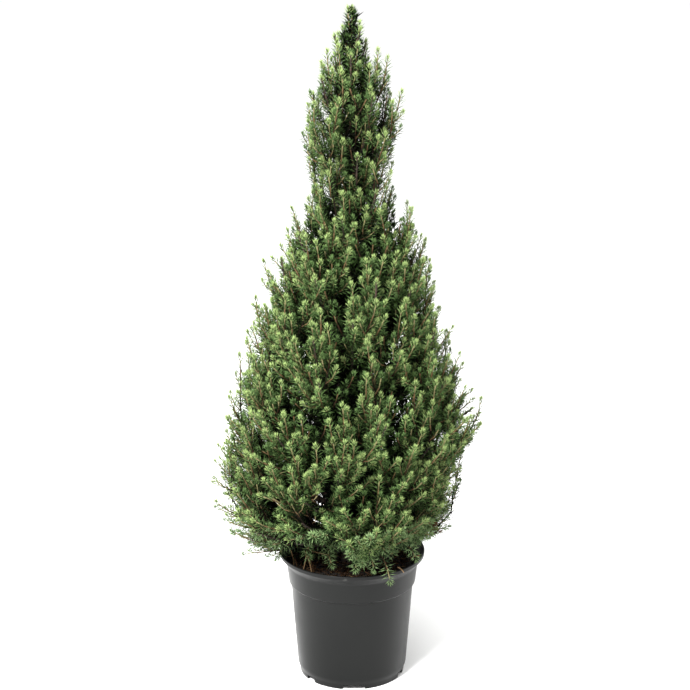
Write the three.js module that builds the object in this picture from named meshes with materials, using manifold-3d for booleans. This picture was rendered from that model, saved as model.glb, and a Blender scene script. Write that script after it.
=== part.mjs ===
// A dwarf Alberta spruce in a round nursery pot: pot, potting mix, trunk, boughs and foliage masses.
// Millimetres, +Z up. The origin is the middle of the pot's underside, on the ground, and -Y is the front.
// Bearings go round +Z from +X: 0 is the right-hand side, 90 the back, 180 the left and 270 the front.
import * as THREE from "three";
import { mergeVertices } from "three/addons/utils/BufferGeometryUtils.js";
import Module from "manifold-3d";

const wasm = await Module();
wasm.setup();

const GAP = 0.3; // the clearance kept between two pieces that touch

// ---- Driving dimensions ----------------------------------------------------------------------------

const POT = {
  height: 188,
  lipRadius: 105,
  lipHeight: 5.5,
  bandTopRadius: 95.5, // the wall's outside, where it flares out to the lip
  bandTop: 172,
  bandFootRadius: 91.8,
  bandFoot: 142, // height of the shoulder that the next pot in a stack rests on
  wallTopRadius: 88.4, // just under the shoulder
  wallFootRadius: 79,
  footRadius: 76,
  footHeight: 7,
  wall: 1.5,
  segments: 32,
};
// The foot ring has a wide and a narrow notch in each third of a turn.
const NOTCHES = { groups: 3, wide: { bearing: 271.5, turn: 25 }, narrow: { bearing: 218, turn: 12 } };
const DRAIN = { radius: 5, ring: 58, sides: 10 };
const SOIL_LEVEL = 170;

const TRUNK = { footRadius: 11.5, tipRadius: 1.1, flare: 5, tip: 970 };
const BOUGH = { footRadius: 4.6, endRadius: 2.2, reach: 7 }; // reach is how far a bough goes into its mass

// The crown's half-width at each height, to the left and to the right, as seen from the front.
const OUTLINE = [
  [165, 92, 84],
  [192, 150, 104],
  [222, 178, 134],
  [300, 197, 152],
  [350, 186, 183],
  [415, 178, 182],
  [500, 151, 146],
  [575, 137, 122],
  [650, 107, 107],
  [705, 78, 80],
  [752, 62, 50],
  [835, 72, 67],
  [885, 50, 44],
  [935, 30, 27],
  [982, 9, 8],
];
const DEPTH_SHARE = { front: 1.0, back: 0.97 }; // of the mean of left and right

// Each tier is a ring of masses between two wavy, dished surfaces. foot is where the lower surface would
// meet the axis, rise is how much it climbs per mm outwards, and turn is the bearing of the first gap.
const TIERS = [
  { name: "skirt", foot: 196, rise: -0.12, inner: 50, masses: 6, turn: 248, gap: 14, boughs: true },
  { name: "low", foot: 228, rise: 0.22, inner: 54, masses: 5, turn: 282, gap: 6, boughs: true },
  { name: "broad", foot: 288, rise: 0.42, inner: 52, masses: 5, turn: 250, gap: 5, boughs: true },
  { name: "middle", foot: 360, rise: 0.58, inner: 46, masses: 4, turn: 292, gap: 5, boughs: true },
  { name: "upper", foot: 440, rise: 0.72, inner: 36, masses: 4, turn: 245, gap: 5, boughs: true },
  { name: "neck", foot: 538, rise: 0.85, inner: 15, masses: 3, turn: 310, gap: 4, boughs: false },
  { name: "spire", foot: 655, rise: 1.0, inner: 9, masses: 3, turn: 252, gap: 4, boughs: false },
];
const LEADER = { foot: 770, rise: 0.9, gap: 4 }; // the one mass round the trunk's tip
const MASS = { squareness: 7, unevenness: 0.06, wave: 8, ripple: 4, panels: [4, 3, 3] };
const LOW_BOUGH = { bearing: 188, out: 84, foot: 186, top: 284 }; // bare, to the left of the trunk

const COLOURS = {
  pot: { color: 0x37393a, roughness: 0.42 },
  soil: { color: 0x2c211a, roughness: 0.95 },
  bark: { color: 0x5b4736, roughness: 0.85 },
  foliage: { color: 0x4c6b39, roughness: 0.7 },
};

// ---- Helpers -----------------------------------------------------------------------------------------

const material = (name) => new THREE.MeshStandardMaterial({ ...COLOURS[name], metalness: 0 });
const lerp = THREE.MathUtils.lerp;
const radians = THREE.MathUtils.degToRad;

// A smooth value between -1 and 1 that differs with the seed.
const wobble = (a, b, seed) =>
  (Math.sin(a * 3 + seed * 2.1) + Math.sin(b * 5 + seed * 4.7) + Math.sin(a * 7 - b * 4 + seed)) / 3;

const polar = (radius, bearing, height) =>
  new THREE.Vector3(radius * Math.cos(bearing), radius * Math.sin(bearing), height);

// Moves every vertex of a geometry by a function of its position.
function reshape(geometry, move) {
  const place = geometry.attributes.position;
  const point = new THREE.Vector3();
  for (let i = 0; i < place.count; i++) {
    move(point.fromBufferAttribute(place, i));
    place.setXYZ(i, point.x, point.y, point.z);
  }
  return geometry;
}

function toSolid(geometry) {
  const bare = geometry.clone();
  bare.deleteAttribute("normal");
  bare.deleteAttribute("uv");
  const merged = mergeVertices(bare, 1e-3);
  return new wasm.Manifold(
    new wasm.Mesh({
      numProp: 3,
      vertProperties: merged.attributes.position.array,
      triVerts: new Uint32Array(merged.index.array),
    }),
  );
}

function toGeometry(solid) {
  const mesh = solid.getMesh();
  const geometry = new THREE.BufferGeometry();
  geometry.setAttribute("position", new THREE.BufferAttribute(mesh.vertProperties, 3));
  geometry.setIndex(new THREE.BufferAttribute(mesh.triVerts, 1));
  geometry.computeVertexNormals();
  return geometry;
}

const tree = new THREE.Group();

function addPiece(name, geometry, finish) {
  const piece = new THREE.Mesh(geometry, finish);
  piece.name = name;
  tree.add(piece);
}

// A profile of [radius, height] pairs, from the axis round to the axis, turned about +Z.
function turned(profile, segments) {
  const points = profile.map(([radius, height]) => new THREE.Vector2(radius, height));
  return new THREE.LatheGeometry(points, segments).rotateX(Math.PI / 2);
}

// ---- Pot: a thin moulded shell with a flared lip, a stacking shoulder and a notched foot ring --------------

const floorTop = POT.footHeight + POT.wall;

function potProfile() {
  const { height, lipRadius, lipHeight, bandTopRadius, bandTop, bandFootRadius, bandFoot } = POT;
  const { wallTopRadius, wallFootRadius, footRadius, footHeight, wall } = POT;
  const padRadius = 14; // the round pad in the middle of the underside
  const footWidth = 3;
  const lipFoot = height - lipHeight;
  return [
    [0, 0],
    [padRadius, 0],
    [padRadius + 0.5, footHeight],
    [footRadius - footWidth - 0.5, footHeight],
    [footRadius - footWidth, 0],
    [footRadius - 0.6, 0],
    [footRadius, 1],
    [footRadius + 0.6, footHeight],
    [wallFootRadius - 0.6, footHeight + 4],
    [wallFootRadius, footHeight + 9],
    [wallTopRadius, bandFoot - 2.5],
    [bandFootRadius, bandFoot],
    [bandTopRadius, bandTop],
    [lipRadius - 1, lipFoot - 0.8],
    [lipRadius, lipFoot],
    [lipRadius, height - 0.8],
    [lipRadius - 0.8, height],
    [lipRadius - 2.2, height],
    [lipRadius - 2.8, lipFoot + 0.6],
    [bandTopRadius - wall, bandTop + 0.8],
    [bandFootRadius - wall, bandFoot + 1],
    [wallTopRadius - wall, bandFoot - 2],
    [wallFootRadius - wall, floorTop + 7],
    [footRadius - wall, floorTop],
    [0, floorTop],
  ];
}

let shell = toSolid(turned(potProfile(), POT.segments));
for (let group = 0; group < NOTCHES.groups; group++) {
  for (const { bearing, turn } of [NOTCHES.wide, NOTCHES.narrow]) {
    const place = radians(bearing + (group * 360) / NOTCHES.groups);
    const width = 2 * POT.footRadius * Math.sin(radians(turn / 2));
    const notch = new THREE.BoxGeometry(14, width, 2 * (POT.footHeight - 0.6));
    notch.translate(POT.footRadius, 0, 0).rotateZ(place);
    const drain = new THREE.CylinderGeometry(DRAIN.radius, DRAIN.radius, 12, DRAIN.sides);
    drain.rotateX(Math.PI / 2).translate(DRAIN.ring, 0, POT.footHeight).rotateZ(place);
    shell = shell.subtract(toSolid(notch)).subtract(toSolid(drain));
  }
}
addPiece("nursery_pot", toGeometry(shell), material("pot"));

// ---- Potting mix: fills the pot to a little under the lip, flat where the trunk stands ---------------------

function soilProfile() {
  const slack = GAP + POT.wall + 0.2;
  const bandShare = (SOIL_LEVEL - 5 - POT.bandFoot) / (POT.bandTop - POT.bandFoot);
  return [
    [0, floorTop + GAP],
    [POT.footRadius - slack - 0.6, floorTop + GAP],
    [POT.wallFootRadius - slack - 0.5, floorTop + 7.5],
    [POT.wallTopRadius - slack - 0.3, POT.bandFoot - 2],
    [POT.bandFootRadius - slack - 0.5, POT.bandFoot + 1.6],
    [lerp(POT.bandFootRadius, POT.bandTopRadius, bandShare) - slack, SOIL_LEVEL - 5],
    [84, SOIL_LEVEL - 3],
    [66, SOIL_LEVEL],
    [46, SOIL_LEVEL + 1],
    [TRUNK.footRadius + 10, SOIL_LEVEL],
    [0, SOIL_LEVEL],
  ];
}

const soil = reshape(turned(soilProfile(), POT.segments), (point) => {
  const fromAxis = Math.hypot(point.x, point.y);
  if (point.z < SOIL_LEVEL - 4 || fromAxis < TRUNK.footRadius + 12) return;
  point.z += 1.6 * wobble(point.x / 30, point.y / 30, 3);
});
addPiece("potting_mix", soil, material("soil"));

// ---- Trunk: a gently wandering, tapering stem with a root flare at its foot --------------------------------

const trunkLine = new THREE.CatmullRomCurve3([
  new THREE.Vector3(0, 0, SOIL_LEVEL + GAP),
  new THREE.Vector3(1, -1, 300),
  new THREE.Vector3(-3, 2, 480),
  new THREE.Vector3(2, 3, 660),
  new THREE.Vector3(-2, 0, 820),
  new THREE.Vector3(-1, 0, TRUNK.tip),
]);

function trunkRadius(share) {
  const taper = lerp(TRUNK.footRadius, TRUNK.tipRadius, share ** 0.85);
  return taper + TRUNK.flare * Math.exp(-share * 45);
}

// A limb is a cylinder whose rings are carried along a curve, with a radius for each share of its length.
function limb(curve, radiusAt, sides, steps, spare = 0) {
  const rod = new THREE.CylinderGeometry(1, 1, 1, sides, steps);
  return reshape(rod, (point) => {
    const share = THREE.MathUtils.clamp(point.y + 0.5, 0, 1);
    const along = share ** 1.3; // rings lie closer together near the foot
    const direction = curve.getTangentAt(along);
    const across = new THREE.Vector3(0, 1, 0);
    if (Math.abs(direction.y) > 0.9) across.set(1, 0, 0);
    const side = new THREE.Vector3().crossVectors(across, direction).normalize();
    const back = new THREE.Vector3().crossVectors(direction, side);
    const radius = radiusAt(along) + spare;
    const centre = curve.getPointAt(along);
    centre.addScaledVector(side, point.z * radius).addScaledVector(back, point.x * radius);
    point.copy(centre);
  });
}

const trunk = limb(trunkLine, trunkRadius, 10, 14);
addPiece("trunk", trunk, material("bark"));
const trunkRoom = toSolid(limb(trunkLine, trunkRadius, 10, 14, GAP));

function trunkAt(height) {
  const share = THREE.MathUtils.clamp((height - SOIL_LEVEL) / (TRUNK.tip - SOIL_LEVEL), 0, 1);
  return trunkLine.getPointAt(share);
}

// ---- Crown outline -------------------------------------------------------------------------------------

const crownTop = OUTLINE[OUTLINE.length - 1][0];

// The half-widths at a height, eased between the rows of OUTLINE.
function halfWidths(height) {
  const last = OUTLINE.length - 1;
  let row = 0;
  while (row < last - 1 && height > OUTLINE[row + 1][0]) row++;
  const [low, high] = [OUTLINE[row], OUTLINE[row + 1]];
  const share = THREE.MathUtils.clamp((height - low[0]) / (high[0] - low[0]), 0, 1);
  const eased = lerp(share, share * share * (3 - 2 * share), 0.5);
  return { left: lerp(low[1], high[1], eased), right: lerp(low[2], high[2], eased) };
}

function crownRadius(height, bearing, seed) {
  const { left, right } = halfWidths(height);
  const mean = (left + right) / 2;
  const [east, north] = [Math.cos(bearing), Math.sin(bearing)];
  const sideways = (east > 0 ? right : left) * east * east;
  const depth = mean * (north > 0 ? DEPTH_SHARE.back : DEPTH_SHARE.front) * north * north;
  const uneven = 1 + MASS.unevenness * wobble(bearing * 2, height / 40, seed);
  return (sideways + depth) * uneven;
}

// The surface under tier k, at a bearing and a distance from the axis.
function tierSurface(k, bearing, radius) {
  const tier = TIERS[k] ?? LEADER;
  const swell = k === 0 ? 0 : MASS.wave * Math.sin(2 * bearing + k * 1.9);
  const ripple = MASS.ripple * Math.sin(7 * bearing + k * 2.3) * Math.min(radius / 80, 1);
  return tier.foot + swell + ripple + tier.rise * radius;
}

// ---- Foliage masses and the boughs that carry them ---------------------------------------------------------

// The skirt hangs round the pot's lip, so its underside is lifted clear of the lip and the potting mix.
function liftOverPot(radius, height) {
  const overLip = Math.abs(radius - (POT.lipRadius - 5)) < 17;
  const floor = overLip ? POT.height + 3 : SOIL_LEVEL + 6;
  return Math.max(height, floor);
}

// Rounds a box off towards a ball: the higher the squareness, the sharper its corners stay.
function roundOff(point) {
  const n = MASS.squareness;
  const size = (Math.abs(point.x) ** n + Math.abs(point.y) ** n + Math.abs(point.z) ** n) ** (1 / n);
  return point.divideScalar(size);
}

// One mass of a ring: a rounded box bent round the trunk, to fill its share of the tier out to the outline.
function massGeometry(k, from, to, seed) {
  const tier = TIERS[k];
  const middle = (from + to) / 2;
  const lowGap = tier.gap / 2;
  const highGap = (TIERS[k + 1] ?? LEADER).gap / 2;
  return reshape(new THREE.BoxGeometry(2, 2, 2, ...MASS.panels), (point) => {
    const { x: across, y: outward, z: upward } = roundOff(point).clone();
    let bearing = middle;
    let radius = tier.inner;
    let height = tier.foot;
    for (let pass = 0; pass < 10; pass++) {
      bearing = middle - across * ((to - from - tier.gap / Math.max(radius, 8)) / 2);
      const low = tierSurface(k, bearing, radius) + lowGap;
      const high = tierSurface(k + 1, bearing, radius) - highGap;
      height = lerp(low, Math.min(high, crownTop), (upward + 1) / 2);
      const outer = Math.max(crownRadius(height, bearing, seed), tier.inner + 3);
      radius = lerp(tier.inner, outer, (outward + 1) / 2);
    }
    if (k === 0) height = liftOverPot(radius, height);
    const lean = tier.boughs ? new THREE.Vector3() : trunkAt(height).setZ(0);
    point.copy(polar(radius, bearing, height)).add(lean);
  });
}

// The leader's mass: an uneven spindle round the trunk's tip.
function leaderGeometry() {
  const spindle = mergeVertices(new THREE.IcosahedronGeometry(1, 2), 1e-4);
  return reshape(spindle, (point) => {
    const bearing = Math.atan2(point.y, point.x);
    const share = (point.z + 1) / 2;
    const girth = Math.max(0, 1 - Math.abs(point.z) ** (point.z < 0 ? 6 : 2)) ** 0.5;
    let height = LEADER.foot;
    let radius = 0;
    for (let pass = 0; pass < 10; pass++) {
      const low = tierSurface(TIERS.length, bearing, radius) + LEADER.gap / 2;
      height = lerp(low, crownTop, share ** 1.2);
      radius = girth * crownRadius(height, bearing, 51);
    }
    point.copy(polar(radius, bearing, height)).add(trunkAt(height).setZ(0));
  });
}

// A bough leaves the trunk below its mass, runs outwards and turns up into the mass's inner face.
function boughCurve(k, bearing) {
  const tier = TIERS[k];
  const low = tierSurface(k, bearing, tier.inner);
  const high = tierSurface(k + 1, bearing, tier.inner);
  const entry = lerp(low, high, 0.4);
  const run = tier.inner - TRUNK.footRadius;
  const start = Math.max(SOIL_LEVEL + 14, entry - run * (0.35 + 0.16 * k));
  return risingCurve(bearing, start, tier.inner + BOUGH.reach, entry, 1.5);
}

// A curve from the trunk's middle at one height to a distance and a height further out.
function risingCurve(bearing, start, distance, end, bend) {
  const root = trunkAt(start).setZ(0);
  const points = [0, 0.5, 1].map((share) =>
    polar(lerp(2, distance, share), bearing, lerp(start, end, share ** bend)).addScaledVector(root, 1 - share),
  );
  return new THREE.CatmullRomCurve3(points);
}

const boughRadius = (share) => lerp(BOUGH.footRadius, BOUGH.endRadius, share);

// Adds a bough, cut off at the trunk, and returns the room that it needs in the mass it enters.
function addBough(label, curve) {
  const bough = toSolid(limb(curve, boughRadius, 6, 3)).subtract(trunkRoom);
  addPiece(`bough_${label}`, toGeometry(bough), material("bark"));
  return toSolid(limb(curve, boughRadius, 6, 3, GAP));
}

const lowBearing = radians(LOW_BOUGH.bearing);
const lowBoughRoom = addBough(
  "low_left",
  risingCurve(lowBearing, LOW_BOUGH.foot, LOW_BOUGH.out, LOW_BOUGH.top, 2.6),
);

TIERS.forEach((tier, k) => {
  const width = (2 * Math.PI) / tier.masses;
  const edge = (j) => radians(tier.turn) + j * width + 0.08 * width * Math.sin(2.4 * (j % tier.masses) + k);
  for (let j = 0; j < tier.masses; j++) {
    const [from, to] = [edge(j), edge(j + 1)];
    const label = `${tier.name}_${j + 1}`;
    let mass = toSolid(massGeometry(k, from, to, k * 7 + j)).subtract(lowBoughRoom);
    if (tier.boughs) mass = mass.subtract(addBough(label, boughCurve(k, (from + to) / 2)));
    addPiece(`foliage_${label}`, toGeometry(mass.subtract(trunkRoom)), material("foliage"));
  }
});
addPiece("foliage_leader", toGeometry(toSolid(leaderGeometry()).subtract(trunkRoom)), material("foliage"));

export default tree;
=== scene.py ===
"""A dwarf Alberta spruce, about a metre tall, in a round plastic nursery pot."""

import math
import random

import bmesh
import bpy
import numpy as np
from mathutils import Matrix, Vector, noise
from mathutils.bvhtree import BVHTree


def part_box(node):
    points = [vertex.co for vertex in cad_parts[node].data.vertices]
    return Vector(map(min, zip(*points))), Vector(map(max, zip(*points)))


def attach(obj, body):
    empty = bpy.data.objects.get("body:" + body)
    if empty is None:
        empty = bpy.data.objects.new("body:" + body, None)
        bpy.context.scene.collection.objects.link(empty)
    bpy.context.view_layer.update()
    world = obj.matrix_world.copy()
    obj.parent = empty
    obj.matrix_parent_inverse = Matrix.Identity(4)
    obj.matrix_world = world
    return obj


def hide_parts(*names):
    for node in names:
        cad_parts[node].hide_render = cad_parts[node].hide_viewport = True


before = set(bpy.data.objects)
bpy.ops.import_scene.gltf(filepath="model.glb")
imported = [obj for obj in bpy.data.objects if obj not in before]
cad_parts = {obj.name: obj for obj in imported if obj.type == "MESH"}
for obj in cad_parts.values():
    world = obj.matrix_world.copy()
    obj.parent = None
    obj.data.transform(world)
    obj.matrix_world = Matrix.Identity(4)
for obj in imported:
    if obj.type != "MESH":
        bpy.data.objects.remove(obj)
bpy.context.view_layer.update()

# ---- Camera --------------------------------------------------------------------------------------
# A long lens three metres away, well above the plant and tipped down, so that the lip of the pot
# shows as an ellipse and the upright shoots are seen a little from above.

camera_distance = 3.0
camera_height = 1.447
camera_tip = math.radians(17.57)

lens = bpy.data.cameras.new("studio_camera")
lens.sensor_width = 36.0
lens.lens = 116.7
camera = bpy.data.objects.new("studio_camera", lens)
camera.location = (-0.0103, -camera_distance, camera_height)
camera.rotation_euler = (math.pi / 2 - camera_tip, 0.0, 0.0)
bpy.context.collection.objects.link(camera)
bpy.context.scene.camera = camera

# ---- Studio --------------------------------------------------------------------------------------
# A white room: light from all round, a strong soft box high at the front left, a weak one overhead
# that picks out the tips, and a pale floor. The strong one keeps the gaps between shoots dark.


def linear(hex_colour):
    """A linear RGBA colour from an sRGB hex value."""
    channels = [int(hex_colour[i : i + 2], 16) / 255 for i in (1, 3, 5)]
    return (*[c / 12.92 if c < 0.04045 else ((c + 0.055) / 1.055) ** 2.4 for c in channels], 1.0)


def node(tree, kind, settings=None, links=None, values=None):
    """Adds a shader node with its settings, its input values and the links into its inputs."""
    added = tree.nodes.new(kind)
    for name, value in (settings or {}).items():
        setattr(added, name, value)
    for name, value in (values or {}).items():
        added.inputs[name].default_value = value
    for name, source in (links or {}).items():
        tree.links.new(source, added.inputs[name])
    return added


world = bpy.data.worlds.new("white_room")
world.use_nodes = True
world.node_tree.nodes["Background"].inputs["Color"].default_value = (1.0, 1.0, 1.0, 1.0)
world.node_tree.nodes["Background"].inputs["Strength"].default_value = 1.0
bpy.context.scene.world = world
bpy.context.scene.view_settings.view_transform = "Standard"


def soft_box(name, place, aim, size, watts):
    """A square area light that faces a point."""
    light = bpy.data.lights.new(name, "AREA")
    light.size = size
    light.energy = watts
    lamp = bpy.data.objects.new(name, light)
    lamp.location = place
    lamp.rotation_euler = (Vector(aim) - Vector(place)).to_track_quat("-Z", "Y").to_euler()
    bpy.context.collection.objects.link(lamp)


soft_box("key_light", (-1.3, -2.0, 2.6), (0.0, 0.0, 0.5), 1.1, 330.0)
soft_box("top_light", (0.5, -0.6, 2.9), (0.0, 0.0, 0.6), 1.0, 45.0)


def add_object(name, mesh):
    """Links a new object that sits at the origin, with its place in its mesh."""
    added = bpy.data.objects.new(name, mesh)
    bpy.context.collection.objects.link(added)
    return added


def mesh_from(bm, name):
    """Turns a finished bmesh into an object."""
    mesh = bpy.data.meshes.new(name)
    bm.to_mesh(mesh)
    bm.free()
    return add_object(name, mesh)


def new_material(name):
    """A new node material, its node tree and its Principled shader."""
    material = bpy.data.materials.new(name)
    material.use_nodes = True
    return material, material.node_tree, material.node_tree.nodes["Principled BSDF"]


def pale_paper():
    """Seamless background paper: uncoated and chalky, so it takes a soft shadow and no gleam."""
    material, _, shader = new_material("matt_pale_paper")
    shader.inputs["Base Color"].default_value = linear("#f4f4f3")
    shader.inputs["Roughness"].default_value = 0.9
    return material


bm = bmesh.new()
bmesh.ops.create_grid(bm, x_segments=1, y_segments=1, size=30.0)
floor = mesh_from(bm, "studio_floor")
floor.location.z = -0.0004
floor.data.materials.append(pale_paper())

# ---- Nursery pot ---------------------------------------------------------------------------------
# Thin polypropylene, moulded in one shot: a turned shell with a flared lip, a shoulder that stops
# stacked pots from jamming, and a foot ring notched so that water can run out under it.

MM = 0.001
pot_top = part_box("nursery_pot")[1]
lip_radius = pot_top.x / MM
pot_height = pot_top.z / MM
lip_foot = pot_height - 5.5
pot_wall = 1.5
band_top = (95.5, 172.0)  # radius and height, where the wall flares out to the lip
band_foot = (91.8, 142.0)  # the shoulder
wall_top = (88.4, 139.2)
wall_foot = (78.9, 14.0)
foot_radius = 76.0
foot_height = 7.0  # of the ring that the pot stands on


def rounded(corners):
    """A profile whose corners, given as (radius, height, rounding), are turned into short arcs."""
    profile = []
    for i, (radius, height, rounding) in enumerate(corners):
        here = Vector((radius, height))
        if rounding == 0.0:
            profile.append(here)
            continue
        before = (Vector(corners[i - 1][:2]) - here).normalized() * rounding + here
        after = (Vector(corners[i + 1][:2]) - here).normalized() * rounding + here
        for step in range(5):
            t = step / 4
            profile.append(before * (1 - t) ** 2 + here * 2 * t * (1 - t) + after * t**2)
    return profile


def spun(profile, name, steps):
    """A closed solid, turned from a profile in millimetres that starts and ends on the axis."""
    bm = bmesh.new()
    verts = [bm.verts.new((p.x * MM, 0.0, p.y * MM)) for p in profile]
    edges = [bm.edges.new(pair) for pair in zip(verts, verts[1:])]
    bmesh.ops.spin(
        bm,
        geom=verts + edges,
        axis=(0.0, 0.0, 1.0),
        cent=(0.0, 0.0, 0.0),
        angle=2 * math.pi,
        steps=steps,
        use_merge=True,
    )
    bmesh.ops.remove_doubles(bm, verts=bm.verts, dist=1e-6)
    bmesh.ops.recalc_face_normals(bm, faces=bm.faces)
    return mesh_from(bm, name)


pad_radius = 14.0  # the round pad in the middle of the underside
pot_profile = rounded(
    [
        (0.0, 0.0, 0.0),
        (pad_radius, 0.0, 0.4),
        (pad_radius + 0.5, foot_height, 0.4),
        (foot_radius - 3.5, foot_height, 0.4),
        (foot_radius - 3.0, 0.0, 0.4),
        (foot_radius - 0.4, 0.0, 0.6),
        (foot_radius + 0.5, foot_height, 1.5),
        (*wall_foot, 3.0),
        (*wall_top, 0.8),
        (*band_foot, 0.8),
        (*band_top, 2.5),
        (lip_radius - 0.3, lip_foot, 1.0),
        (lip_radius, pot_height, 0.9),
        (lip_radius - 2.6, pot_height, 0.9),
        (lip_radius - 3.0, lip_foot + 1, 1.0),
        (band_top[0] - pot_wall, band_top[1] + 0.8, 2.5),
        (band_foot[0] - pot_wall, band_foot[1] + 1.0, 0.6),
        (wall_top[0] - pot_wall, wall_top[1] + 1.0, 0.6),
        (wall_foot[0] - pot_wall, wall_foot[1] + 0.5, 3.0),
        (foot_radius - 1.4, foot_height + pot_wall, 1.0),
        (0.0, foot_height + pot_wall, 0.0),
    ]
)
pot = spun(pot_profile, "nursery_pot_shell", 144)

drain_radius = 5.0
drain_ring = 58.0  # how far the drain holes lie from the axis


def pot_cutters():
    """The blocks that cut the foot ring's notches, and the pins that make the drain holes."""
    bm = bmesh.new()
    wide = (math.radians(271.5), math.radians(25.0))  # bearing and turn of the first of three
    narrow = (math.radians(218.0), math.radians(12.0))
    for group in range(3):
        for bearing, turn in (wide, narrow):
            place = bearing + group * math.tau / 3
            spot = Vector((math.cos(place), math.sin(place), 0.0))
            block = bmesh.ops.create_cube(bm, size=1.0)["verts"]
            width = 2 * foot_radius * math.sin(turn / 2)
            size = (14 * MM, width * MM, 2 * (foot_height - 0.6) * MM)
            bmesh.ops.scale(bm, vec=size, verts=block)
            bmesh.ops.rotate(bm, verts=block, matrix=Matrix.Rotation(place, 3, "Z"))
            bmesh.ops.translate(bm, vec=spot * foot_radius * MM, verts=block)
            pin = bmesh.ops.create_cone(
                bm,
                cap_ends=True,
                segments=24,
                radius1=drain_radius * MM,
                radius2=drain_radius * MM,
                depth=12 * MM,
            )["verts"]
            drain = spot * drain_ring * MM + Vector((0.0, 0.0, foot_height * MM))
            bmesh.ops.translate(bm, vec=drain, verts=pin)
    return mesh_from(bm, "pot_cutters")


def finished(piece):
    """Gives a piece the mesh that its modifiers make of it, and takes the modifiers off."""
    graph = bpy.context.evaluated_depsgraph_get()
    mesh = bpy.data.meshes.new_from_object(piece.evaluated_get(graph), depsgraph=graph)
    piece.modifiers.clear()
    piece.data = mesh
    return piece


cutters = pot_cutters()
cut = pot.modifiers.new("notches", "BOOLEAN")
cut.operation = "DIFFERENCE"
cut.solver = "EXACT"
cut.object = cutters
finished(pot)
bpy.data.objects.remove(cutters)
pot.data.shade_smooth()
pot.data.set_sharp_from_angle(angle=math.radians(38))

# Small marks on the front, by x, height, spread and colour: two dimples from the mould, painted as
# black dots of shade in place of their hollows, two specks from the mould, and a scuff on the lip.
pot_marks = [
    # Painted shade: these two black dots stand for the shadow in the dimples, which are not modelled.
    (-0.003, 0.136, 0.0014, "#000000"),
    (-0.003, 0.101, 0.0012, "#000000"),
    (0.033, 0.134, 0.0012, "#020202"),
    (0.067, 0.152, 0.0012, "#020202"),
    (-0.0095, 0.1838, 0.0003, "#3c3c3a"),
    (-0.0120, 0.1822, 0.0001, "#3c3c3a"),
]


def polypropylene():
    """Injection-moulded polypropylene, coloured through with carbon black.

    It looks a dark charcoal with a satin skin. Handling has left it duller in broad smears, and the
    mould has left a faint orange peel.
    """
    smear_size = 71.4  # millimetres, as the peel
    peel_size = 1.43
    material, tree, shader = new_material("moulded_black_polypropylene")
    place = node(tree, "ShaderNodeTexCoord").outputs["Object"]
    smears = node(
        tree,
        "ShaderNodeTexNoise",
        links={"Vector": place},
        values={"Scale": 1000 / smear_size, "Detail": 4.0},
    )
    colour = node(tree, "ShaderNodeMix", {"data_type": "RGBA"}, {"Factor": smears.outputs["Fac"]})
    colour.inputs["A"].default_value = linear("#0a0b0b")
    colour.inputs["B"].default_value = linear("#111211")
    shade = colour.outputs["Result"]
    for x, z, spread, tone in pot_marks:
        away = node(tree, "ShaderNodeVectorMath", {"operation": "DISTANCE"}, {0: place})
        girth = lip_radius * MM if z > 0.18 else 0.094  # the lip's or the band's radius there
        away.inputs[1].default_value = (x, -math.sqrt(girth**2 - x**2), z)
        fade = node(
            tree,
            "ShaderNodeMapRange",
            links={"Value": away.outputs["Value"]},
            values={"From Min": spread, "From Max": spread + 0.0025, "To Min": 0.75, "To Max": 0.0},
        )
        mark = node(tree, "ShaderNodeMix", {"data_type": "RGBA"}, {"Factor": fade.outputs["Result"]})
        tree.links.new(shade, mark.inputs["A"])
        mark.inputs["B"].default_value = linear(tone)
        shade = mark.outputs["Result"]
    tree.links.new(shade, shader.inputs["Base Color"])
    dust = node(
        tree,
        "ShaderNodeMapRange",
        links={"Value": smears.outputs["Fac"]},
        values={"From Min": 0.3, "From Max": 0.7, "To Min": 0.28, "To Max": 0.42},
    )
    tree.links.new(dust.outputs["Result"], shader.inputs["Roughness"])
    peel = node(
        tree,
        "ShaderNodeTexNoise",
        links={"Vector": place},
        values={"Scale": 1000 / peel_size, "Detail": 2.0},
    )
    bump = node(
        tree,
        "ShaderNodeBump",
        links={"Height": peel.outputs["Fac"]},
        values={"Strength": 0.12, "Distance": 0.0003},
    )
    tree.links.new(bump.outputs["Normal"], shader.inputs["Normal"])
    shader.inputs["IOR"].default_value = 1.49
    shader.inputs["Specular IOR Level"].default_value = 0.14
    return material


pot.data.materials.clear()
pot.data.materials.append(polypropylene())
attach(pot, "root")
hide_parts("nursery_pot")

# ---- Potting mix ---------------------------------------------------------------------------------
# Damp peat and bark fines that fill the pot to a thumb's width under the lip. The top is lumpy, and
# the mix is nearly black, with paler crumbs of bark in it.

soil_level = 170.0
soil_foot = foot_height + pot_wall + 0.4
soil_top = [(radius, soil_level) for radius in np.arange(90.0, 0.0, -2.5)]
soil_profile = [
    (0.0, soil_foot),
    (foot_radius - 3.5, soil_foot),
    (wall_foot[0] - 2.7, soil_foot + 7.6),
    (wall_top[0] - 2.4, band_foot[1] - 2.0),
    (band_foot[0] - 2.6, band_foot[1] + 2.0),
    (band_top[0] - 3.5, soil_level - 4),
    *soil_top,
    (0.0, soil_level),
]
soil = spun([Vector(corner) for corner in soil_profile], "potting_mix_top", 150)


def soil_height(x, y):
    """The height of the potting mix at a place, in metres: lumps 14 mm across, and 5 mm crumbs."""
    lumps = noise.noise(Vector((x, y, 0.3)) * 70) * 2.6
    crumbs = noise.noise(Vector((x, y, 4.1)) * 220) * 1.3
    return (soil_level + lumps + crumbs) * MM


for vertex in soil.data.vertices:
    if vertex.co.z > (soil_level - 1) * MM:
        vertex.co.z = soil_height(vertex.co.x, vertex.co.y)
soil.data.shade_smooth()


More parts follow.
